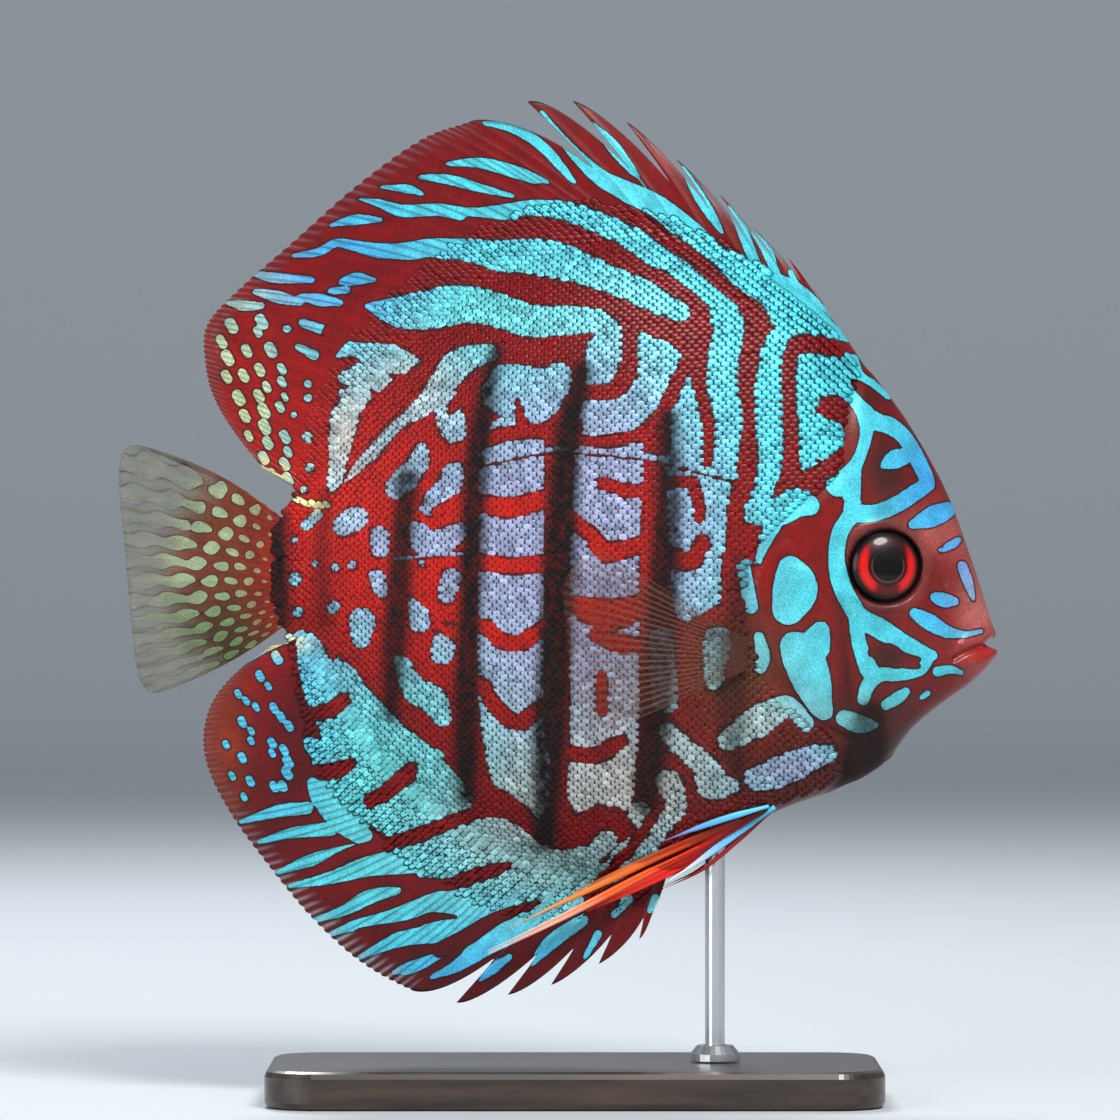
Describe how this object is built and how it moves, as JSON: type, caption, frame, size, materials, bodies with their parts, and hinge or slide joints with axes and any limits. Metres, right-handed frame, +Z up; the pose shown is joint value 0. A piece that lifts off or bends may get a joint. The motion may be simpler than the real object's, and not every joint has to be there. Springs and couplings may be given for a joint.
{
  "type": "discus fish, life-size model on a display stand",
  "caption": "Disc-shaped freshwater fish with turquoise and red-brown wavy bands, tall sweeping fins and a red eye, held level on a rod and flat base.",
  "frame": {"origin": "on the floor, under the middle of the whole model", "axes": "+X towards the fish's snout, +Z up, the fish's right flank faces -Y"},
  "size_m": [0.1493, 0.05, 0.1696],
  "materials": {
    "scaled_skin": "small overlapping scales, turquoise with red-brown bands, wet sheen",
    "head_skin": "smooth wet skin, red-brown with turquoise lines",
    "fin_skin": "thin ribbed skin, dark red with turquoise streaks",
    "clear_fin": "thin, almost clear skin over fine rays",
    "eye": "polished, bright red round a black pupil",
    "dark_wood": "dark satin lacquer",
    "steel": "fine brushed"
  },
  "bodies": {
    "root": {"head": "head_skin", "gill_cover_right": "head_skin", "gill_cover_left": "head_skin", "upper_jaw": "head_skin", "lower_jaw": "head_skin", "eye_right": "eye", "eye_left": "eye", "trunk": "scaled_skin", "tail_stalk": "scaled_skin", "dorsal_fin_spiny": "fin_skin", "dorsal_fin_soft": "fin_skin", "anal_fin_spiny": "fin_skin", "anal_fin_soft": "fin_skin", "tail_fin": "clear_fin", "breast_fin_right": "clear_fin", "breast_fin_left": "clear_fin", "belly_fin_right": "fin_skin", "belly_fin_left": "fin_skin", "stand_base": "dark_wood", "stand_ferrule": "steel", "stand_rod": "steel"}
  },
  "joints": []
}
